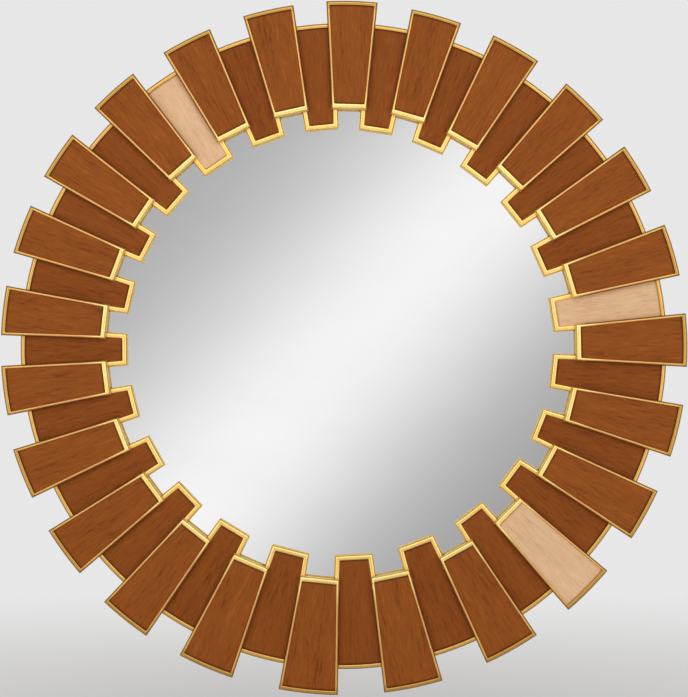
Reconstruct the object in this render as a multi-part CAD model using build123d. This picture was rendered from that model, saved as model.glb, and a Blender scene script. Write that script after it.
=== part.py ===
"""Sunburst wall mirror: a round glass in a ring of 24 front and 24 rear gilded slats with inlaid veneer.

Millimetres. +X is the viewer's right, +Y runs into the wall and +Z is up.
The origin is the centre of the backing board's rear face, which lies on the wall.
Clock angles run clockwise from the top, as the viewer sees them.
"""
from math import asin, cos, radians, sin
import os

from build123d import *

# Rings of slats
SLAT_PITCH = [14.25, 14.25, 14.5, 14.25, 14.75, 15.25, 15.25, 15, 15.75, 16, 17.5, 17.5,
              17.5, 15.5, 15, 14.75, 14.25, 13.5, 14, 13.75, 14.25, 14.75, 14.5, 14]  # degrees, laid by hand
FIRST_SLAT = 1.5  # degrees past the top
MEAN_PITCH = 15.0
RIM_RADIUS = 457.2  # front slats' outer ends: 36 in across
# How far each front slat reaches past that radius, or stays short of it
SLAT_REACH = [2, 0, 2, 1, 1, -1, -1, 0, 1, 1, 2, 3, 3, 4, 5, 2, 0, -4, -4, -3, -1, 0, 0, 1]
FRONT_INNER_RADIUS = 311.0
REAR_OUTER_RADIUS = 429.0
REAR_INNER_RADIUS = 282.8
# Centres of the circles that the slats' ends follow. The opening sits a little high and left.
FRONT_INNER_CENTRE = (-2.6, 5.0)
REAR_OUTER_CENTRE = (1.0, 2.0)
REAR_INNER_CENTRE = (-3.5, 7.2)
# Angles that a slat spans at the mean pitch, and what it gains per degree of extra pitch
FRONT_SPAN = 8.84
FRONT_GAIN = 0.4
REAR_SPAN = 9.25
REAR_GAIN = 0.5

# Slat blocks
SLAT_THICKNESS = 9.5
# Widths of a slat's gilt rim: along its sides, at its inner end and at its outer end
FRONT_RIM = (4.1, 7.0, 5.8)
REAR_RIM = (7.0, 7.0, 5.8)
RIM_ROUND = 2.2
RIM_BEVEL = 0.8
VENEER_SINK = 1.5
VENEER_THICKNESS = 1.5
VENEER_GAP = 0.1
BLEACHED_FRONT = [10]
BLEACHED_REAR = [6, 22]

# Gilt risers under the front slats
RISER_OUTER_RADIUS = 396.0
RISER_GAP = 0.3

# Backing board and glass
BOARD_RADIUS = 400.0
BOARD_THICKNESS = 18.0
BOARD_EDGE = 1.0
GLASS_RADIUS = 330.0
GLASS_THICKNESS = 4.0
GLASS_EDGE = 0.5
POCKET_GAP = 1.0
PAD_THICKNESS = 1.0
PAD_SIZE = (60.0, 25.0)
PAD_RINGS = [(120.0, 4), (255.0, 8)]  # radius and number of pads

# Slat screws, driven from behind
SCREW_RADII = [350.0, 385.0]
SHANK_RADIUS = 1.9
HEAD_RADIUS = 3.8
HEAD_HEIGHT = 2.3
HEAD_SINK = 0.4
TIP_LENGTH = 3.0
BITE = 4.5  # how deep a tip goes into its slat
CLEARANCE = 0.1
CROSS_LENGTH = 4.2
CROSS_WIDTH = 0.9
CROSS_DEPTH = 1.2

# Keyhole hangers
HANGER_SPACING = 406.4  # 16 in, from head hole to head hole
HANGER_HEIGHT = 200.0  # of the head holes above the centre
PLATE_SIZE = (22.0, 54.0)
PLATE_THICKNESS = 1.8
PLATE_SINK = 0.2
HEAD_HOLE_RADIUS = 5.0
SLOT_WIDTH = 5.0
SLOT_RISE = 13.0  # from the head hole's centre to the top of the slot's straight part
CAVITY_WIDTH = 12.0
CAVITY_DEPTH = 8.0  # from the wall face
PLATE_SCREW_RISES = [-14.0, 26.0]
PLATE_SCREW_SHANK = 1.5
PLATE_SCREW_HEAD = 3.0
PLATE_SCREW_HEAD_HEIGHT = 1.5
PLATE_SCREW_LENGTH = 10.0
PLATE_CENTRE_RISE = 6.0

# Depths from the wall face, towards the viewer
BOARD_FRONT = BOARD_THICKNESS
POCKET_FLOOR = BOARD_FRONT - GLASS_THICKNESS - PAD_THICKNESS
REAR_TOP = BOARD_FRONT + SLAT_THICKNESS


def slat_angles():
    """Clock angles of the front slats, then of the rear ones between them."""
    front = [FIRST_SLAT + sum(SLAT_PITCH[:k]) for k in range(len(SLAT_PITCH))]
    rear = [angle + pitch / 2 for angle, pitch in zip(front, SLAT_PITCH)]
    return front, rear


def front_spans():
    """Degrees that each front slat spans, from the mean pitch on its two sides."""
    spans = []
    for k, pitch in enumerate(SLAT_PITCH):
        local = (SLAT_PITCH[k - 1] + pitch) / 2
        spans.append(FRONT_SPAN + FRONT_GAIN * (local - MEAN_PITCH))
    return spans


def rear_spans():
    """Degrees that each rear slat spans, from the pitch of the gap that it fills."""
    return [REAR_SPAN + REAR_GAIN * (pitch - MEAN_PITCH) for pitch in SLAT_PITCH]


def reach(radius, centre, angle):
    """Distance from the rim's centre to an off-centre circle, along a clock angle."""
    return radius + centre[0] * sin(radians(angle)) + centre[1] * cos(radians(angle))


def at_depth(depth):
    """The X-Z plane at a depth from the wall face, facing the viewer."""
    return Plane.XZ.offset(depth)


def wedge(inner, outer, span, rim=(0.0, 0.0, 0.0)):
    """A slat's outline on X-Z, pointing up: straight inner end, arched outer end, radial sides.

    rim draws the outline in from the sides, the inner end and the outer end.
    """
    side, inner_end, outer_end = rim
    half = radians(span / 2)
    low = inner + inner_end
    arch = outer - outer_end
    low_x = low * sin(half) / cos(half) - side / cos(half)
    turn = half - asin(side / arch)
    high = (arch * sin(turn), arch * cos(turn))
    edges = [
        Line((-low_x, low), (low_x, low)),
        Line((low_x, low), high),
        ThreePointArc(high, (0, arch), (-high[0], high[1])),
        Line((-high[0], high[1]), (-low_x, low)),
    ]
    return make_face(edges)


def prism(face, depth, height):
    """A face on X-Z, carried from a depth towards the viewer by a height."""
    return extrude(at_depth(depth) * face, height)


def rod(radius, depth, height, x=0.0, z=0.0, top_radius=None):
    """A round rod or cone whose axis runs towards the viewer."""
    spot = at_depth(depth) * Pos(x, z, height / 2)
    if top_radius is None:
        return spot * Cylinder(radius, height)
    return spot * Cone(radius, top_radius, height)


def turned(shape, angle):
    """A shape made at the top, turned to its clock angle."""
    return Rot(0, angle, 0) * shape


def slat_block(inner, outer, span, base, rim):
    """A block with a rounded gilt rim, a bevelled recess for its veneer and two pilot holes."""
    top = base + SLAT_THICKNESS
    block = prism(wedge(inner, outer, span), base, SLAT_THICKNESS)
    rim_edges = block.faces().sort_by(Axis.Y)[0].edges()
    block = fillet(rim_edges, RIM_ROUND)
    floor = top - VENEER_SINK - VENEER_THICKNESS
    recess = prism(wedge(inner, outer, span, rim), floor, top - floor)
    block -= recess
    face = block.faces().filter_by(Axis.Y).sort_by(Axis.Y)[0]
    block = chamfer(face.inner_wires()[0].edges(), RIM_BEVEL)
    for radius in SCREW_RADII:
        block -= rod(SHANK_RADIUS + CLEARANCE, base, BITE + CLEARANCE, z=radius)
    return block


def veneer(inner, outer, span, base, rim):
    """The thin panel that lies in a block's recess."""
    floor = base + SLAT_THICKNESS - VENEER_SINK - VENEER_THICKNESS
    clear = tuple(width + VENEER_GAP for width in rim)
    return prism(wedge(inner, outer, span, clear), floor, VENEER_THICKNESS)


def screw(shank, head, head_height, length, cross=True):
    """A countersunk wood screw that points to the viewer, its head at depth zero."""
    body = rod(head, 0, head_height, top_radius=shank)
    body += rod(shank, head_height, length - head_height - TIP_LENGTH)
    body += rod(shank, length - TIP_LENGTH, TIP_LENGTH, top_radius=shank / 8)
    if cross:
        for turn in (0, 90):
            bar = Box(CROSS_LENGTH, CROSS_DEPTH * 2, CROSS_WIDTH)
            body -= Rot(0, turn, 0) * bar
    return body


def screw_holes(angles):
    """Countersunk clearance holes through the board, two for each clock angle."""
    holes = []
    for angle in angles:
        for radius in SCREW_RADII:
            shaft = rod(SHANK_RADIUS + CLEARANCE, 0, BOARD_THICKNESS, z=radius)
            sink = rod(HEAD_RADIUS + CLEARANCE, 0, HEAD_SINK, z=radius)
            cone = rod(HEAD_RADIUS + CLEARANCE, HEAD_SINK, HEAD_HEIGHT, z=radius,
                       top_radius=SHANK_RADIUS + CLEARANCE)
            holes += [turned(shape, angle) for shape in (shaft, sink, cone)]
    return holes


def slat_screws(angles, length):
    """One row's screws, standing in the board's holes."""
    pattern = screw(SHANK_RADIUS, HEAD_RADIUS, HEAD_HEIGHT, length)
    return [turned(Pos(0, -HEAD_SINK, radius) * pattern, angle)
            for angle in angles for radius in SCREW_RADII]


def hanger_places():
    """X and Z of the two head holes."""
    return [(-HANGER_SPACING / 2, HANGER_HEIGHT), (HANGER_SPACING / 2, HANGER_HEIGHT)]


def keyhole(width, head_radius):
    """Keyhole outline about its head hole: a round hole with a slot that rises from it."""
    slot = Pos(0, SLOT_RISE / 2) * Rectangle(width, SLOT_RISE)
    return Circle(head_radius) + slot + Pos(0, SLOT_RISE) * Circle(width / 2)


def hanger_plate(x, z):
    """A steel keyhole plate, let into the board's back."""
    outline = Pos(0, PLATE_CENTRE_RISE) * RectangleRounded(*PLATE_SIZE, PLATE_SIZE[0] / 2 - 1)
    outline -= keyhole(SLOT_WIDTH, HEAD_HOLE_RADIUS)
    plate = prism(Pos(x, z) * outline, PLATE_SINK, PLATE_THICKNESS)
    for rise in PLATE_SCREW_RISES:
        plate -= rod(PLATE_SCREW_HEAD + CLEARANCE, PLATE_SINK, PLATE_SCREW_HEAD_HEIGHT, x, z + rise,
                     top_radius=PLATE_SCREW_SHANK + CLEARANCE)
        plate -= rod(PLATE_SCREW_SHANK + CLEARANCE, PLATE_SINK, PLATE_THICKNESS, x, z + rise)
    return plate


def hanger_pocket(x, z):
    """What is cut from the board for a keyhole plate, the wall screw's head and the plate's screws."""
    outline = Pos(x, z + PLATE_CENTRE_RISE) * RectangleRounded(*PLATE_SIZE, PLATE_SIZE[0] / 2 - 1)
    cuts = [prism(outline, 0, PLATE_SINK + PLATE_THICKNESS)]
    cavity = Pos(x, z) * keyhole(CAVITY_WIDTH, CAVITY_WIDTH / 2)
    cuts.append(prism(cavity, 0, CAVITY_DEPTH))
    for rise in PLATE_SCREW_RISES:
        depth = PLATE_SINK + PLATE_SCREW_LENGTH + CLEARANCE
        cuts.append(rod(PLATE_SCREW_SHANK + CLEARANCE, 0, depth, x, z + rise))
    return cuts


def backing_board(front, rear):
    """Plywood disc with the glass pocket in front and hanger pockets behind."""
    board = chamfer(rod(BOARD_RADIUS, 0, BOARD_THICKNESS).edges(), BOARD_EDGE)
    board -= rod(GLASS_RADIUS + POCKET_GAP, POCKET_FLOOR, BOARD_THICKNESS)
    cuts = screw_holes(front + rear)
    for x, z in hanger_places():
        cuts += hanger_pocket(x, z)
    return board - cuts


def mirror_glass():
    """Silvered float glass, flush with the board's front."""
    return chamfer(rod(GLASS_RADIUS, POCKET_FLOOR + PAD_THICKNESS, GLASS_THICKNESS).edges(), GLASS_EDGE)


def foam_pads():
    """Tape pads between the pocket's floor and the glass."""
    pads = []
    for radius, count in PAD_RINGS:
        for k in range(count):
            pad = prism(Pos(0, radius) * Rectangle(*PAD_SIZE), POCKET_FLOOR, PAD_THICKNESS)
            pads.append(turned(pad, 360 * k / count))
    return pads


def risers(front, rear):
    """Spacers that fill the gaps between the rear slats, flush with the front slats' inner ends."""
    spans = rear_spans()
    made = []
    for k, angle in enumerate(front):
        before = (angle - rear[k - 1]) % 360 - spans[k - 1] / 2
        after = rear[k] - angle - spans[k] / 2
        inner = reach(FRONT_INNER_RADIUS, FRONT_INNER_CENTRE, angle)
        face = wedge(inner, RISER_OUTER_RADIUS, 2 * min(before, after), (RISER_GAP, 0.0, 0.0))
        riser = prism(face, BOARD_FRONT, SLAT_THICKNESS)
        for radius in SCREW_RADII:
            riser -= rod(SHANK_RADIUS + CLEARANCE, BOARD_FRONT, SLAT_THICKNESS, z=radius)
        made.append(turned(riser, angle))
    return made


def write(node, shapes):
    """One STEP file for a node, with its solids side by side."""
    solids = [solid for shape in shapes for solid in shape.solids()]
    export_step(Compound(children=solids) if len(solids) > 1 else solids[0], f"parts/{node}.step")


def main():
    os.makedirs("parts", exist_ok=True)
    front, rear = slat_angles()
    walnut_front = []
    walnut_rear = []
    bleached = []
    for k in range(len(front)):
        number = k + 1
        angle = front[k]
        size = (reach(FRONT_INNER_RADIUS, FRONT_INNER_CENTRE, angle),
                RIM_RADIUS + SLAT_REACH[k], front_spans()[k], REAR_TOP, FRONT_RIM)
        write(f"front_slat_{number:02d}", [turned(slat_block(*size), angle)])
        (bleached if number in BLEACHED_FRONT else walnut_front).append(turned(veneer(*size), angle))
        angle = rear[k]
        size = (reach(REAR_INNER_RADIUS, REAR_INNER_CENTRE, angle),
                reach(REAR_OUTER_RADIUS, REAR_OUTER_CENTRE, angle), rear_spans()[k], BOARD_FRONT, REAR_RIM)
        write(f"rear_slat_{number:02d}", [turned(slat_block(*size), angle)])
        (bleached if number in BLEACHED_REAR else walnut_rear).append(turned(veneer(*size), angle))
    write("front_walnut_panels", walnut_front)
    write("rear_walnut_panels", walnut_rear)
    write("bleached_panels", bleached)
    write("front_slat_risers", risers(front, rear))
    write("backing_board", [backing_board(front, rear)])
    write("mirror_glass", [mirror_glass()])
    write("mirror_foam_pads", foam_pads())
    write("rear_slat_screws", slat_screws(rear, BOARD_FRONT + BITE - HEAD_SINK))
    write("front_slat_screws", slat_screws(front, REAR_TOP + BITE - HEAD_SINK))
    plate_screws = []
    for side, (x, z) in zip(("left", "right"), hanger_places()):
        write(f"keyhole_hanger_{side}", [hanger_plate(x, z)])
        small = screw(PLATE_SCREW_SHANK, PLATE_SCREW_HEAD, PLATE_SCREW_HEAD_HEIGHT,
                      PLATE_SCREW_LENGTH, cross=False)
        plate_screws += [Pos(x, -PLATE_SINK, z + rise) * small for rise in PLATE_SCREW_RISES]
    write("keyhole_screws", plate_screws)


main()
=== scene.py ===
"""Looks of the sunburst wall mirror: gilt slats, veneer panels, silvered glass and the black board behind.

Metres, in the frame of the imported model: +X is the viewer's right, +Y runs into the wall, +Z is up.
A slat is made upright, as at the top of the ring, and its object is turned about Y to its clock angle.
"""
from math import asin, cos, hypot, pi, radians, sin, tan

import bpy
import numpy as np
from mathutils import Matrix, Vector
from mathutils import noise


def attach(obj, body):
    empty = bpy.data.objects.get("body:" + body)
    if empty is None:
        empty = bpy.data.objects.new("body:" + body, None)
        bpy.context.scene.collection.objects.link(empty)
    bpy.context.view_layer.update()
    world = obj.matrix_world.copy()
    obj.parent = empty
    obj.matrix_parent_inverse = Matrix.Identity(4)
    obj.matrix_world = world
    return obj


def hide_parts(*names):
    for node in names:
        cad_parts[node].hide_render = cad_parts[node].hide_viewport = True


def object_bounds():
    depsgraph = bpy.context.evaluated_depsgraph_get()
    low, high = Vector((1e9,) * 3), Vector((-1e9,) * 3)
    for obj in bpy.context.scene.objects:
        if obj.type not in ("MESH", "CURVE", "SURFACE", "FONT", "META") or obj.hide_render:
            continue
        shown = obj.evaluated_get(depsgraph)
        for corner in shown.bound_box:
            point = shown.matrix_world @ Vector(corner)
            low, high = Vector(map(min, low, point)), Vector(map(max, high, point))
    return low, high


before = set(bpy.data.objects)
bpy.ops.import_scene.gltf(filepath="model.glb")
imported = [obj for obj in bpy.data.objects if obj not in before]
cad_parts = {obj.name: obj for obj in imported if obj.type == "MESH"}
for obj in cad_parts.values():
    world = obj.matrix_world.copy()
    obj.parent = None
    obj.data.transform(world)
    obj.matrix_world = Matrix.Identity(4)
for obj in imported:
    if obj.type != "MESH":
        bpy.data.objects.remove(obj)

CAD_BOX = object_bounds()
MM = 0.001

# Camera, set to the photograph's view
PHOTO_HEIGHT = 697
MM_PER_PIXEL = 1.323  # at the front slats' faces
CAMERA_DISTANCE = 3.0  # from the front slats' faces
SENSOR = 36.0
AIM = (1.4 * MM, -1.2 * MM)  # the ring stands a pixel left of the picture's middle and a pixel above it

# Gilt rims: widths along the sides, at the inner end and at the outer end
RIMS = {"front": (4.1 * MM, 7.0 * MM, 5.8 * MM), "rear": (7.0 * MM, 7.0 * MM, 5.8 * MM)}
# Section of a rim, from its outer edge: millimetres in, share of the crown's width, and drop below the face.
# It is a steep outer slope, the same on every side, then a low crown that fills the rim,
# and the recess's wall.
SLOPE_WIDTH = 1.7 * MM
RIM_PROFILE = [
    (0.0, 0.0, 9.5), (0.0, 0.0, 7.5), (0.0, 0.0, 5.5), (0.0, 0.0, 4.0), (0.0, 0.0, 2.9),
    (0.18, 0.0, 2.45), (0.45, 0.0, 1.95), (0.75, 0.0, 1.45), (1.05, 0.0, 1.0), (1.4, 0.0, 0.6),
    (1.7, 0.0, 0.33), (1.7, 0.08, 0.19), (1.7, 0.2, 0.08), (1.7, 0.35, 0.01), (1.7, 0.5, 0.0),
    (1.7, 0.64, 0.03), (1.7, 0.76, 0.1), (1.7, 0.86, 0.22), (1.7, 0.92, 0.4), (1.7, 0.965, 0.7),
    (1.7, 0.99, 1.05), (1.7, 1.0, 1.4), (1.7, 1.0, 2.2), (1.7, 1.0, 3.0),
]
# Distances along that section, from the back, at which the walls' painted shade, a flatter and darker gold,
# gives way to bright gold
WALL_SHADE_ENDS = (4.6 * MM, 7.8 * MM)  # at the inner ends, and along the sides and the outer ends
WALL_SHADE_FADE = 2.0 * MM
# Distances along that section over which the sides' walls turn from darker gold to the brown of a painted
# shadow
PAINTED_SHADOW_BAND = (5.4 * MM, 7.0 * MM)
# Distances from the ring's middle: where the gold's painted shade deepens, where the walls' painted shade
# turns brown, where the sides stand free of the next slat, and where the outer ends begin, each painted in a
# darker gold as painted shade
GOLD_SHADE_DEEPENS = (0.317, 0.350)
WALLS_DARKEN = (0.313, 0.323)
FREE_SIDES = (0.405, 0.425)
OUTER_ENDS = (0.446, 0.451)
RIM_CROWN = (4, 20)  # profile steps that a hand's unevenness reaches
RIM_WAVER = 0.07 * MM
RIM_WAVER_LENGTH = 14 * MM
INNER_STEPS = 14
SIDE_STEPS = 34
ARCH_STEPS = 20
SHARP_ANGLE = radians(35)
# Noise scales: along and across a rim, and the fine one of specks and risers
RIM_GRAIN = (55, 1900, 1)
SPECK_GRAIN = (420, 420, 420)

SLATS_IN_ROW = 24

# Veneer panels
PANEL_ACROSS = 14
PANEL_ALONG = 40
PANEL_BEVEL = 0.15 * MM
PANEL_CUP = 0.10 * MM
CUP_ACROSS = 30
CUP_ALONG = 14
BORDER_FALL = 1.7  # how fast the painted shadow along a panel's edges, under the rim, fades inwards
BORDER_SHADE = 0.9
SIDE_BORDER = 0.3  # the painted shadow along the sides, as a share of the ends'
WALL_SHEEN = 0.6  # how metallic the outer walls are
VENEER_GLOSS = 0.10
REAR_GOLD_SHADE = 0.4  # how far the rear rims' gold is painted towards the darker rear gold, as painted shade
ROW_DEPTHS = (-0.033, -0.029)  # between the front panels' faces and the rear ones', over which the rear row's painted shade comes in

# Studio
BACKDROP = 0.80
FLOOR_HEIGHT = -0.60
FLOOR_RADIUS = 3.0
FLOOR_FADE = (0.9, 2.85)  # distances from the middle over which the floor clears
FLOOR_COLOUR = (243, 242, 240)
ROOM_LEVEL = 0.375
ROOM_SLOPE = 0.035
PANEL_PEAK = 0.93
PANEL_WIDTH = 0.0613
SLOPE_REACH = 0.067  # how far off the panel's middle the room's slope goes
PANEL_NORMAL = (0.7230, 0.0, -0.6909)
RING_ANGLE = radians(27)
RING_WIDTH = radians(15)
RING_START = (radians(8), radians(15))  # no ring light nearer the axis, where the glass looks
RING_LEVEL = 1.6
RING_TOP_BIAS = 0.45
TOP_WAY = (0.35, 0.0, 0.94)  # where the ring is brightest
PANEL_NEAR_AXIS = (0.80, 0.97)  # cosines off the axis over which the panel comes in
BEHIND_FADE = (0.15, -0.35)  # and over which the room gives way to the backdrop

# Colours, as sRGB
GOLD = (255, 231, 152)
DEEP_GOLD = (246, 204, 112)
# Gold painted darker outwards, towards the free sides and the outer ends: painted shade
OUTER_SHADED_GOLD = (222, 168, 100)
FREE_SHADED_GOLD = (222, 174, 92)
END_SHADED_GOLD = (196, 150, 74)
# The rear row's gold, painted darker as painted shade for the deeper row
REAR_SHADED_GOLD = (240, 190, 92)
# Painted shade on the walls and on the risers, and a painted shadow in brown near the top of the sides' walls
WALL_SHADED_GOLD = (240, 206, 128)
RISER_SHADED_GOLD = (224, 188, 114)
SIDE_SHADED_GOLD = (196, 146, 70)
PAINTED_SHADOW_BROWN = (122, 74, 30)
BOLE = (96, 40, 22)
# Veneers: middle, dark and light tones, and the painted shadow along the edges
WALNUT_TONES = ((147, 78, 22), (114, 52, 10), (165, 91, 32), (70, 30, 6))
BLEACHED_TONES = ((230, 187, 145), (196, 147, 104), (240, 206, 168), (184, 130, 86))
POPLAR = (186, 150, 104)
POPLAR_DARK = (158, 122, 80)
BLACK_PAINT = (27, 25, 24)
WORN_PAINT = (41, 38, 36)
BARE_PLY = (150, 116, 76)
SILVER = (253, 253, 254)
WIPED_SILVER = (250, 250, 251)
ZINC = (188, 190, 192)
FOAM = (52, 53, 56)
FOAM_CELLS = (70, 71, 74)


def linear(colour, alpha=1.0):
    """An sRGB colour as the linear one that a shader takes."""
    parts = [c / 255 for c in colour]
    return tuple(c / 12.92 if c <= 0.04045 else ((c + 0.055) / 1.055) ** 2.4 for c in parts) + (alpha,)


class Shader:
    """A node tree, with short calls that add its nodes and join them."""

    def __init__(self, name, world=False):
        self.owner = (bpy.data.worlds if world else bpy.data.materials).new(name)
        self.owner.use_nodes = True
        self.tree = self.owner.node_tree
        self.main = self.tree.nodes["Background" if world else "Principled BSDF"]

    def add(self, kind, inputs=None, **settings):
        node = self.tree.nodes.new("ShaderNode" + kind)
        for name, value in settings.items():
            setattr(node, name, value)
        for name, value in (inputs or {}).items():
            self.feed(node.inputs[name], value)
        return node

    def feed(self, socket, value):
        if isinstance(value, bpy.types.NodeSocket):
            self.tree.links.new(value, socket)
        else:
            socket.default_value = value

    def surface(self, **values):
        """Sets or joins the main shader's sockets, whose names have an underscore for each space."""
        for name, value in values.items():
            self.feed(self.main.inputs[name.replace("_", " ")], value)

    def place(self, kind="Object"):
        return self.add("TexCoord").outputs[kind]

    def own_number(self):
        """A number from 0 to 1 that differs from piece to piece."""
        return self.add("ObjectInfo").outputs["Random"]

    def stretched(self, vector, scale, turn=0.0):
        mapping = self.add("Mapping", {"Vector": vector, "Scale": scale})
        mapping.inputs["Rotation"].default_value = (0.0, turn, 0.0)
        return mapping.outputs["Vector"]

    def noise(self, vector, scale=1.0, detail=3.0, rough=0.55, distortion=0.0):
        inputs = {"Vector": vector, "Scale": scale, "Detail": detail, "Roughness": rough,
                  "Distortion": distortion}
        return self.add("TexNoise", inputs).outputs["Fac"]

    def math(self, operation, a, b=0.0):
        return self.add("Math", {0: a, 1: b}, operation=operation).outputs[0]

    def vector(self, operation, a, b):
        node = self.add("VectorMath", {0: a, 1: b}, operation=operation)
        return node.outputs["Value" if operation == "DOT_PRODUCT" else "Vector"]

    def between(self, value, low, high, new_low=0.0, new_high=1.0, smooth=False):
        inputs = {"Value": value, "From Min": low, "From Max": high, "To Min": new_low, "To Max": new_high}
        kind = "SMOOTHSTEP" if smooth else "LINEAR"
        return self.add("MapRange", inputs, interpolation_type=kind).outputs["Result"]

    def mix(self, share, a, b, blend="MIX"):
        node = self.add("Mix", data_type="RGBA", blend_type=blend)
        self.feed(node.inputs["Factor"], share)
        self.feed(node.inputs[6], a)
        self.feed(node.inputs[7], b)
        return node.outputs[2]

    def bump(self, height, distance, strength=1.0, normal=None):
        inputs = {"Height": height, "Distance": distance, "Strength": strength}
        if normal is not None:
            inputs["Normal"] = normal
        return self.add("Bump", inputs).outputs["Normal"]


def gilt(name, place, grain, shaded_all_over=False):
    """Warm gilding on gesso: brushed along the rim, a little uneven, with nicks down to the red bole.

    Its walls are painted darker as painted shade, all over or up to where the rim's own coordinates say, and
    browned near the top of the sides' walls as a painted shadow. The rear row's gold and the gold further
    from the ring's middle are painted darker too, as painted shade.
    """
    shader = Shader(name)
    rim = shader.place(place)
    here = shader.place()
    offset = shader.math("MULTIPLY", shader.own_number(), 40.0)
    shift = shader.add("CombineXYZ", {0: offset, 1: offset, 2: offset}).outputs[0]
    streaks = shader.noise(shader.vector("ADD", shader.stretched(rim, grain), shift), detail=4, rough=0.6)
    patches = shader.noise(shader.vector("ADD", shader.stretched(here, (38, 38, 38)), shift), detail=3)
    fine = shader.vector("ADD", shader.stretched(here, SPECK_GRAIN), shift)
    specks = shader.noise(fine, detail=5, rough=0.7)
    tone = shader.math("ADD", shader.math("MULTIPLY", streaks, 0.6), shader.math("MULTIPLY", patches, 0.4))
    colour = shader.mix(shader.between(tone, 0.36, 0.62, smooth=True), linear(DEEP_GOLD), linear(GOLD))
    _, depth, radius = shader.add("SeparateXYZ", {0: here}).outputs
    # Painted shade: the rear row's gold painted darker
    rear = shader.between(depth, *ROW_DEPTHS, 0.0, REAR_GOLD_SHADE)
    colour = shader.mix(rear, colour, linear(REAR_SHADED_GOLD))
    # Painted shade: the gold painted darker further from the ring's middle, on the free sides and at the
    # outer ends
    colour = shader.mix(shader.between(radius, *GOLD_SHADE_DEEPENS, smooth=True), colour, linear(OUTER_SHADED_GOLD))
    colour = shader.mix(shader.between(radius, *FREE_SIDES, smooth=True), colour, linear(FREE_SHADED_GOLD))
    colour = shader.mix(shader.between(radius, *OUTER_ENDS), colour, linear(END_SHADED_GOLD))
    # Painted shade on the walls: a flatter, darker gold, browned near the top of the sides' walls as a
    # painted shadow
    if shaded_all_over:
        bright = 0.0
        outer = 0.0
        wall = linear(RISER_SHADED_GOLD)
    else:
        across = shader.add("SeparateXYZ", {0: rim}).outputs[1]
        outer = shader.between(radius, *WALLS_DARKEN)
        start = shader.between(outer, 0, 1, *WALL_SHADE_ENDS)
        bright = shader.between(shader.math("SUBTRACT", across, start), 0, WALL_SHADE_FADE, smooth=True)
        side = shader.mix(shader.between(across, *PAINTED_SHADOW_BAND), linear(SIDE_SHADED_GOLD), linear(PAINTED_SHADOW_BROWN))
        wall = shader.mix(outer, linear(WALL_SHADED_GOLD), side)
    colour = shader.mix(bright, wall, colour)
    nick = shader.between(specks, 0.70, 0.76)
    colour = shader.mix(nick, colour, linear(BOLE))
    rough = shader.between(tone, 0.3, 0.7, 0.36, 0.24)
    height = shader.math("SUBTRACT", streaks, shader.math("MULTIPLY", nick, 0.8))
    sheen = shader.math("MAXIMUM", bright, shader.math("MULTIPLY", outer, WALL_SHEEN))
    metal = shader.math("MULTIPLY", shader.between(nick, 0, 1, 1.0, 0.35), sheen)
    shader.surface(Base_Color=colour, Metallic=metal, Roughness=rough,
                   Specular_IOR_Level=shader.math("MULTIPLY", bright, 0.5),
                   Normal=shader.bump(height, 0.12 * MM, 0.6))
    return shader.owner


def veneer(name, tones, contrast, pore_shade, rear_painted_shade):
    """Open-grained wood along the panel: slow figure, fibres, and short pores, under a thin satin lacquer,
    with painted shade on the rear row and a painted shadow along the edges.
    """
    middle, dark, light, edge_shadow = tones
    shader = Shader(name)
    own = shader.own_number()
    here = shader.place()
    far = shader.math("MULTIPLY", own, 9.0)
    shift = shader.add("CombineXYZ", {0: far, 1: 0.0, 2: far}).outputs[0]
    here = shader.vector("ADD", here, shift)
    sway = shader.between(shader.noise(shader.stretched(here, (14, 14, 9)), detail=2), 0, 1, -0.006, 0.006)
    bent = shader.vector("ADD", here, shader.add("CombineXYZ", {0: sway, 1: 0.0, 2: 0.0}).outputs[0])
    figure = shader.noise(shader.stretched(bent, (60, 60, 8)), detail=3)
    bands = shader.noise(shader.stretched(bent, (430, 430, 44)), detail=4, rough=0.6)
    fibres = shader.noise(shader.stretched(bent, (1100, 1100, 95)), detail=3, rough=0.7)
    pores = shader.noise(shader.stretched(bent, (820, 820, 80)), detail=2, rough=0.5)
    pore = shader.between(pores, 0.60, 0.68)
    tone = shader.math("ADD", shader.math("MULTIPLY", figure, 0.24), shader.math("MULTIPLY", bands, 0.42))
    tone = shader.math("ADD", tone, shader.math("MULTIPLY", fibres, 0.34))
    tone = shader.math("ADD", tone, shader.between(own, 0, 1, -0.014, 0.014))
    low = shader.mix(shader.between(tone, 0.5 - contrast, 0.5, smooth=True), linear(dark), linear(middle))
    colour = shader.mix(shader.between(tone, 0.5, 0.5 + contrast, smooth=True), low, linear(light))
    colour = shader.mix(shader.math("MULTIPLY", pore, pore_shade), colour, linear(dark))
    # Painted shade: the rear row's panels painted towards the dark tone
    depth = shader.add("SeparateXYZ", {0: shader.place()}).outputs[1]
    rear = shader.between(depth, *ROW_DEPTHS, 0.0, rear_painted_shade)
    colour = shader.mix(rear, colour, linear(dark))
    # A painted shadow along the panel's edges, where it sinks under the gilt rim
    border = shader.add("Attribute", attribute_name="border").outputs["Fac"]
    border = shader.math("MULTIPLY", shader.math("POWER", border, BORDER_FALL), BORDER_SHADE)
    colour = shader.mix(border, colour, linear(edge_shadow))
    height = shader.math("SUBTRACT", shader.math("MULTIPLY", fibres, 0.5), shader.math("MULTIPLY", pore, 0.7))
    shader.surface(Base_Color=colour, Roughness=shader.between(fibres, 0.3, 0.7, 0.44, 0.58),
                   Specular_IOR_Level=VENEER_GLOSS, Normal=shader.bump(height, 0.10 * MM, 0.5))
    return shader.owner


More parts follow.
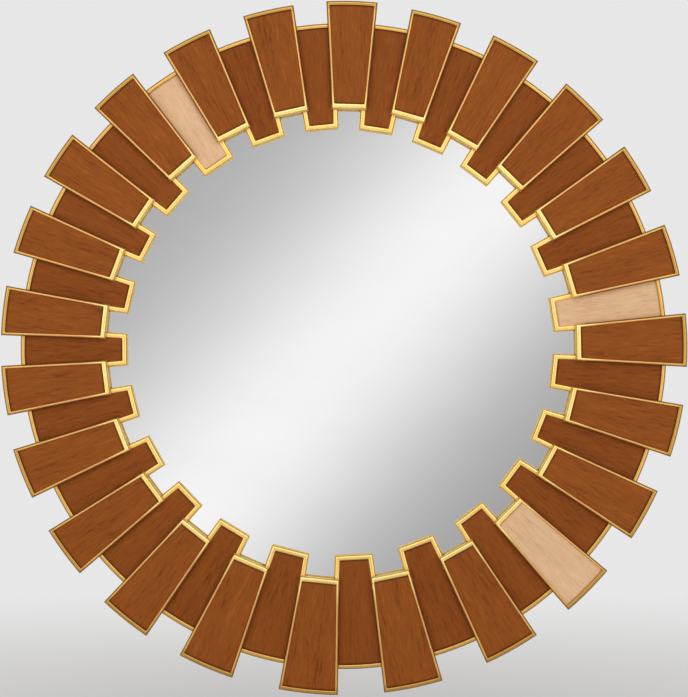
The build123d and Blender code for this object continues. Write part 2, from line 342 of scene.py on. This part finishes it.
def bare_wood():
    """Poplar of the slats' backs, planed and left bare."""
    shader = Shader("bare_wood")
    here = shader.place()
    offset = shader.math("MULTIPLY", shader.own_number(), 9.0)
    here = shader.vector("ADD", here, shader.add("CombineXYZ", {0: offset, 1: 0.0, 2: offset}).outputs[0])
    grain = shader.noise(shader.stretched(here, (300, 300, 9)), detail=5, rough=0.65)
    colour = shader.mix(shader.between(grain, 0.35, 0.65), linear(POPLAR_DARK), linear(POPLAR))
    shader.surface(Base_Color=colour, Roughness=shader.between(grain, 0.3, 0.7, 0.62, 0.78),
                   Normal=shader.bump(grain, 0.2 * MM, 0.4))
    return shader.owner


def black_wood():
    """Matt black paint rolled on plywood, with the grain showing through and a few rubbed spots."""
    shader = Shader("black_wood")
    here = shader.place()
    grain = shader.noise(shader.stretched(here, (260, 260, 7)), detail=5, rough=0.6)
    stipple = shader.noise(here, 900.0, detail=3, rough=0.6)
    rubbed = shader.between(shader.noise(here, 46.0, detail=6, rough=0.72), 0.70, 0.78)
    colour = shader.mix(shader.between(grain, 0.3, 0.7), linear(BLACK_PAINT), linear(WORN_PAINT))
    colour = shader.mix(shader.math("MULTIPLY", rubbed, 0.35), colour, linear(BARE_PLY))
    height = shader.math("ADD", shader.math("MULTIPLY", grain, 0.7), shader.math("MULTIPLY", stipple, 0.3))
    shader.surface(Base_Color=colour, Roughness=shader.between(stipple, 0.3, 0.7, 0.52, 0.7),
                   Normal=shader.bump(height, 0.25 * MM, 0.5))
    return shader.owner


def silvered_glass():
    """Mirror glass, polished, with the faintest wipe marks."""
    shader = Shader("silvered_glass")
    here = shader.place()
    wipe = shader.noise(shader.stretched(here, (5, 5, 14), radians(30)), detail=4, rough=0.6)
    dust = shader.noise(here, 1500.0, detail=2)
    colour = shader.mix(shader.between(wipe, 0.3, 0.7), linear(SILVER), linear(WIPED_SILVER))
    wiped = shader.between(wipe, 0.4, 0.75, 0.008, 0.022)
    rough = shader.math("ADD", wiped, shader.between(dust, 0.68, 0.8, 0, 0.03))
    shader.surface(Base_Color=colour, Metallic=1.0, Roughness=rough)
    return shader.owner


def zinc():
    """Zinc-plated steel, with the plating's soft crystals and drawn marks."""
    shader = Shader("zinc_steel")
    here = shader.place()
    crystal = shader.add("TexVoronoi", {"Vector": here, "Scale": 420.0}).outputs["Color"]
    drawn = shader.noise(shader.stretched(here, (1600, 1600, 60)), detail=3)
    colour = shader.mix(0.12, linear(ZINC), crystal, "SOFT_LIGHT")
    shader.surface(Base_Color=colour, Metallic=1.0, Roughness=shader.between(drawn, 0.3, 0.7, 0.3, 0.46),
                   Normal=shader.bump(drawn, 0.05 * MM, 0.5))
    return shader.owner


def foam():
    """Closed-cell tape foam."""
    shader = Shader("foam_tape")
    here = shader.place()
    cells = shader.add("TexVoronoi", {"Vector": here, "Scale": 1500.0}).outputs["Distance"]
    colour = shader.mix(shader.between(cells, 0.1, 0.7), linear(FOAM), linear(FOAM_CELLS))
    shader.surface(Base_Color=colour, Roughness=0.9, Normal=shader.bump(cells, 0.2 * MM))
    return shader.owner


def measures(points):
    """A wedge's clock angle, half span, inner end, arch radius and depths, from its corner points."""
    turns = np.arctan2(points[:, 0], points[:, 2])
    middle = np.arctan2(np.sin(turns).mean(), np.cos(turns).mean())
    offsets = (turns - middle + pi) % (2 * pi) - pi
    angle = middle + (offsets.min() + offsets.max()) / 2
    reach = np.hypot(points[:, 0], points[:, 2])
    return {
        "angle": float(angle),
        "half": float((offsets.max() - offsets.min()) / 2),
        "low": float((reach * np.cos(turns - angle)).min()),
        "high": float(reach.max()),
        "face": float(points[:, 1].min()),
        "back": float(points[:, 1].max()),
    }


def node_points(node):
    return np.array([v.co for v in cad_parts[node].data.vertices])


def slat_name(row, number):
    return f"{row}_slat_{number:02d}"


def line(start, end, steps):
    """Points from start to end, without the end."""
    return [(start[0] + (end[0] - start[0]) * k / steps, start[1] + (end[1] - start[1]) * k / steps)
            for k in range(steps)]


def wedge_ring(slat, insets):
    """A slat's outline on X-Z, drawn in at the sides and both ends, anticlockwise as seen from the front."""
    side, inner_end, outer_end = insets
    half = slat["half"]
    low = slat["low"] + inner_end
    low_x = low * tan(half) - side / cos(half)
    arch = slat["high"] - outer_end
    turn = half - asin(side / arch)
    corner = (arch * sin(turn), arch * cos(turn))
    points = line((-low_x, low), (low_x, low), INNER_STEPS)
    points += line((low_x, low), corner, SIDE_STEPS)
    for k in range(ARCH_STEPS):
        at = turn - 2 * turn * k / ARCH_STEPS
        points.append((arch * sin(at), arch * cos(at)))
    return points + line((-corner[0], corner[1]), (-low_x, low), SIDE_STEPS)


def make_object(name, vertices, faces, angle, materials, face_materials=None):
    """A smooth-shaded mesh object turned to its clock angle."""
    mesh = bpy.data.meshes.new(name)
    mesh.from_pydata(vertices, [], faces)
    mesh.polygons.foreach_set("use_smooth", [True] * len(faces))
    for material in materials:
        mesh.materials.append(material)
    if face_materials:
        mesh.polygons.foreach_set("material_index", face_materials)
    mesh.set_sharp_from_angle(angle=SHARP_ANGLE)
    made = bpy.data.objects.new(name, mesh)
    bpy.context.scene.collection.objects.link(made)
    made.matrix_world = Matrix.Rotation(angle, 4, "Y")
    return made


def slat_block(row, number, slat, materials):
    """A slat's block with its moulded rim: a steep outer slope, a low crown and the recess's wall."""
    rings = []
    seed = Vector((number * 7.3, 0 if row == "front" else 50, 0))
    for step, (edge, share, drop) in enumerate(RIM_PROFILE):
        ring = []
        insets = [edge * MM + share * (width - SLOPE_WIDTH) for width in RIMS[row]]
        for x, z in wedge_ring(slat, insets):
            y = slat["face"] + drop * MM
            if RIM_CROWN[0] < step < RIM_CROWN[1]:
                spot = Vector((x, 0, z)) / RIM_WAVER_LENGTH + seed
                y += RIM_WAVER * (0.5 + 0.5 * noise.noise(spot))
            ring.append((x, y, z))
        rings.append(ring)
    count = len(rings[0])
    vertices = [point for ring in rings for point in ring]
    faces = []
    uvs = []
    along = [0.0]
    for k in range(count):
        a, b = rings[0][k], rings[0][(k + 1) % count]
        along.append(along[-1] + hypot(b[0] - a[0], b[2] - a[2]))
    across = [0.0]
    crown = RIMS[row][0] - SLOPE_WIDTH
    for (edge, share, drop), (next_edge, next_share, next_drop) in zip(RIM_PROFILE, RIM_PROFILE[1:]):
        inward = (next_edge - edge) * MM + (next_share - share) * crown
        across.append(across[-1] + hypot(inward, (next_drop - drop) * MM))
    for step in range(len(rings) - 1):
        for k in range(count):
            after = (k + 1) % count
            faces.append((step * count + k, step * count + after,
                          (step + 1) * count + after, (step + 1) * count + k))
            uvs += [(along[k], across[step]), (along[k + 1], across[step]),
                    (along[k + 1], across[step + 1]), (along[k], across[step + 1])]
    last = (len(rings) - 1) * count
    back_face = tuple(reversed(range(count)))
    floor_face = tuple(range(last, last + count))
    faces += [back_face, floor_face]
    uvs += [(0.0, 0.0)] * (2 * count)
    kinds = [0] * (len(faces) - 2) + [1, 0]
    made = make_object(f"{row}_gilt_slat_{number:02d}", vertices, faces, slat["angle"], materials, kinds)
    layer = made.data.uv_layers.new(name="rim")
    layer.data.foreach_set("uv", [part for uv in uvs for part in uv])
    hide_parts(slat_name(row, number))
    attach(made, "root")
    return made


def veneer_panel(name, panel, node, material, seed):
    """One veneer panel: a bevelled sheet whose face is very slightly uneven."""
    half = panel["half"]
    low = panel["low"]
    low_x = low * tan(half)
    high = panel["high"]
    thick = panel["back"] - panel["face"]
    edge = PANEL_BEVEL

    def spot(across, along):
        bottom = (across * low_x, low)
        top = (high * sin(across * half), high * cos(across * half))
        return [bottom[0] + (top[0] - bottom[0]) * along, bottom[1] + (top[1] - bottom[1]) * along]

    vertices = []
    for j in range(PANEL_ALONG + 1):
        for i in range(PANEL_ACROSS + 1):
            x, z = spot(2 * i / PANEL_ACROSS - 1, j / PANEL_ALONG)
            rim = i in (0, PANEL_ACROSS) or j in (0, PANEL_ALONG)
            cup = PANEL_CUP * (0.5 + 0.5 * noise.noise(Vector((x * CUP_ACROSS + seed, seed, z * CUP_ALONG))))
            vertices.append((x, panel["face"] + (edge if rim else cup), z))
    wide = PANEL_ACROSS + 1
    faces = [(j * wide + i, j * wide + i + 1, (j + 1) * wide + i + 1, (j + 1) * wide + i)
             for j in range(PANEL_ALONG) for i in range(PANEL_ACROSS)]
    border = [i for i in range(wide)]
    border += [j * wide + PANEL_ACROSS for j in range(1, PANEL_ALONG + 1)]
    border += [PANEL_ALONG * wide + i for i in range(PANEL_ACROSS - 1, -1, -1)]
    border += [j * wide for j in range(PANEL_ALONG - 1, 0, -1)]
    start = len(vertices)
    rims = set(border)
    for index in border:
        x, _, z = vertices[index]
        vertices.append((x, panel["face"] + thick, z))
    for k in range(len(border)):
        after = (k + 1) % len(border)
        faces.append((border[after], border[k], start + k, start + after))
    faces.append(tuple(range(start + len(border) - 1, start - 1, -1)))
    made = make_object(name, vertices, faces, panel["angle"], [material])
    edge_share = made.data.attributes.new("border", "FLOAT", "POINT")
    # Where the painted shadow lies: full at the ends and on the edge walls, weaker along the sides
    edge_shadow = []
    for k in range(len(vertices)):
        at_end = k < wide or PANEL_ALONG * wide <= k < start
        edge_shadow.append(1.0 if at_end or k >= start else SIDE_BORDER if k in rims else 0.0)
    edge_share.data.foreach_set("value", edge_shadow)
    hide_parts(node)
    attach(made, "root")
    return made


def panel_points(node, slats):
    """The points of a veneer node, shared out to the slats that its panels lie in."""
    shared = {}
    middle = (slats["front", 1]["face"] + slats["rear", 1]["face"]) / 2
    for point in node_points(node):
        row = "front" if point[1] < middle else "rear"
        turn = np.arctan2(point[0], point[2])
        off = {number: abs((turn - slat["angle"] + pi) % (2 * pi) - pi)
               for (r, number), slat in slats.items() if r == row}
        shared.setdefault((row, min(off, key=off.get)), []).append(point)
    return {key: np.array(points) for key, points in shared.items()}


def build_slats():
    """All blocks and panels, each in its place."""
    gold = [gilt("gilt", "UV", RIM_GRAIN), bare_wood()]
    walnut = veneer("walnut_veneer", WALNUT_TONES, contrast=0.15, pore_shade=0.3, rear_painted_shade=0.22)
    bleached = veneer("bleached_veneer", BLEACHED_TONES, contrast=0.19, pore_shade=0.13, rear_painted_shade=0.0)
    slats = {}
    for row in ("front", "rear"):
        for number in range(1, SLATS_IN_ROW + 1):
            slats[row, number] = measures(node_points(slat_name(row, number)))
    for (row, number), slat in slats.items():
        slat_block(row, number, slat, gold)
    groups = [
        ("front_walnut_panels", "walnut_veneer", walnut),
        ("rear_walnut_panels", "walnut_veneer", walnut),
        ("bleached_panels", "bleached_veneer", bleached),
    ]
    for node, slot, material in groups:
        kind = "bleached" if node == "bleached_panels" else "walnut"
        for (row, number), points in sorted(panel_points(node, slats).items()):
            seed = number * 3.7 + (0 if row == "front" else 100)
            name = f"{row}_{kind}_panel_{number:02d}"
            veneer_panel(name, measures(points), node, material, seed)


def dress_nodes():
    """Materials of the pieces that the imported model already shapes."""
    black = black_wood()
    steel = zinc()
    finishes = {
        "backing_board": black,
        # The risers take the walls' painted shade all over
        "front_slat_risers": gilt("riser_gilt", "Object", SPECK_GRAIN, shaded_all_over=True),
        "mirror_glass": silvered_glass(),
        "mirror_foam_pads": foam(),
        "rear_slat_screws": steel,
        "front_slat_screws": steel,
        "keyhole_screws": steel,
        "keyhole_hanger_left": steel,
        "keyhole_hanger_right": steel,
    }
    for name, material in finishes.items():
        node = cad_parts[name]
        if not node.material_slots:
            node.data.materials.append(material)
        for slot in node.material_slots:
            slot.material = material


def floor():
    """A round pale floor that fades into the backdrop."""
    mesh = bpy.data.meshes.new("floor")
    steps = 96
    ring = [(FLOOR_RADIUS * cos(2 * pi * k / steps), FLOOR_RADIUS * sin(2 * pi * k / steps), FLOOR_HEIGHT)
            for k in range(steps)]
    mesh.from_pydata(ring, [], [tuple(range(steps))])
    made = bpy.data.objects.new("floor", mesh)
    bpy.context.scene.collection.objects.link(made)
    shader = Shader("floor")
    place = shader.place()
    distance = shader.add("VectorMath", {0: place}, operation="LENGTH").outputs["Value"]
    fade = shader.between(distance, *FLOOR_FADE, smooth=True)
    shader.surface(Base_Color=linear(FLOOR_COLOUR), Roughness=0.8, Specular_IOR_Level=0.1)
    clear = shader.add("BsdfTransparent").outputs[0]
    joined = shader.add("MixShader", {0: fade, 1: shader.main.outputs[0], 2: clear}).outputs[0]
    output = shader.tree.nodes["Material Output"]
    shader.feed(output.inputs["Surface"], joined)
    mesh.materials.append(shader.owner)


def bell(shader, value, middle, width):
    """A soft bump of height 1 about a middle value."""
    off = shader.math("DIVIDE", shader.math("SUBTRACT", value, middle), width)
    return shader.math("EXPONENT", shader.math("MULTIPLY", shader.math("MULTIPLY", off, off), -1.0))


def studio():
    """A pale backdrop, and before the mirror a dimmer room with a soft diagonal panel and a ring of light."""
    shader = Shader("studio", world=True)
    way = shader.place("Generated")
    ahead = shader.vector("DOT_PRODUCT", way, (0.0, -1.0, 0.0))
    across = shader.vector("DOT_PRODUCT", way, PANEL_NORMAL)
    upward = shader.vector("DOT_PRODUCT", way, TOP_WAY)
    room = shader.between(across, -SLOPE_REACH, SLOPE_REACH, ROOM_LEVEL + ROOM_SLOPE, ROOM_LEVEL - ROOM_SLOPE)
    panel = bell(shader, across, 0.0, PANEL_WIDTH)
    lift = shader.math("MULTIPLY", panel, shader.math("SUBTRACT", PANEL_PEAK, room))
    near_axis = shader.between(ahead, *PANEL_NEAR_AXIS, smooth=True)
    lift = shader.math("MULTIPLY", lift, near_axis)
    off_axis = shader.math("ARCCOSINE", ahead)
    ring = shader.math("MULTIPLY", bell(shader, off_axis, RING_ANGLE, RING_WIDTH), RING_LEVEL)
    ring = shader.math("MULTIPLY", ring, shader.between(off_axis, *RING_START, smooth=True))
    ring = shader.math("MULTIPLY", ring, shader.between(upward, -1, 1, 1 - RING_TOP_BIAS, 1 + RING_TOP_BIAS))
    front = shader.math("ADD", shader.math("ADD", room, lift), ring)
    behind = shader.between(ahead, *BEHIND_FADE, smooth=True)
    blend = shader.add("Mix", data_type="FLOAT")
    shader.feed(blend.inputs[0], behind)
    shader.feed(blend.inputs[2], front)
    shader.feed(blend.inputs[3], BACKDROP)
    light = blend.outputs[0]
    path = shader.add("LightPath")
    seen = shader.math("MAXIMUM", path.outputs["Is Camera Ray"], path.outputs["Is Transmission Ray"])
    pick = shader.add("Mix", data_type="FLOAT")
    shader.feed(pick.inputs[0], seen)
    shader.feed(pick.inputs[2], light)
    shader.feed(pick.inputs[3], BACKDROP)
    shader.main.inputs["Color"].default_value = (1.0, 1.0, 1.0, 1.0)
    shader.feed(shader.main.inputs["Strength"], pick.outputs[0])
    bpy.context.scene.world = shader.owner


def camera():
    """The photograph's view: square on, level, from three metres."""
    data = bpy.data.cameras.new("camera")
    data.sensor_width = SENSOR
    data.lens = SENSOR * CAMERA_DISTANCE / (PHOTO_HEIGHT * MM_PER_PIXEL * MM)
    made = bpy.data.objects.new("camera", data)
    bpy.context.scene.collection.objects.link(made)
    made.location = (AIM[0], CAD_BOX[0].y - CAMERA_DISTANCE, AIM[1])
    made.rotation_euler = (pi / 2, 0, 0)
    bpy.context.scene.camera = made


camera()
build_slats()
dress_nodes()
floor()
studio()
bpy.context.scene.view_settings.view_transform = "Standard"
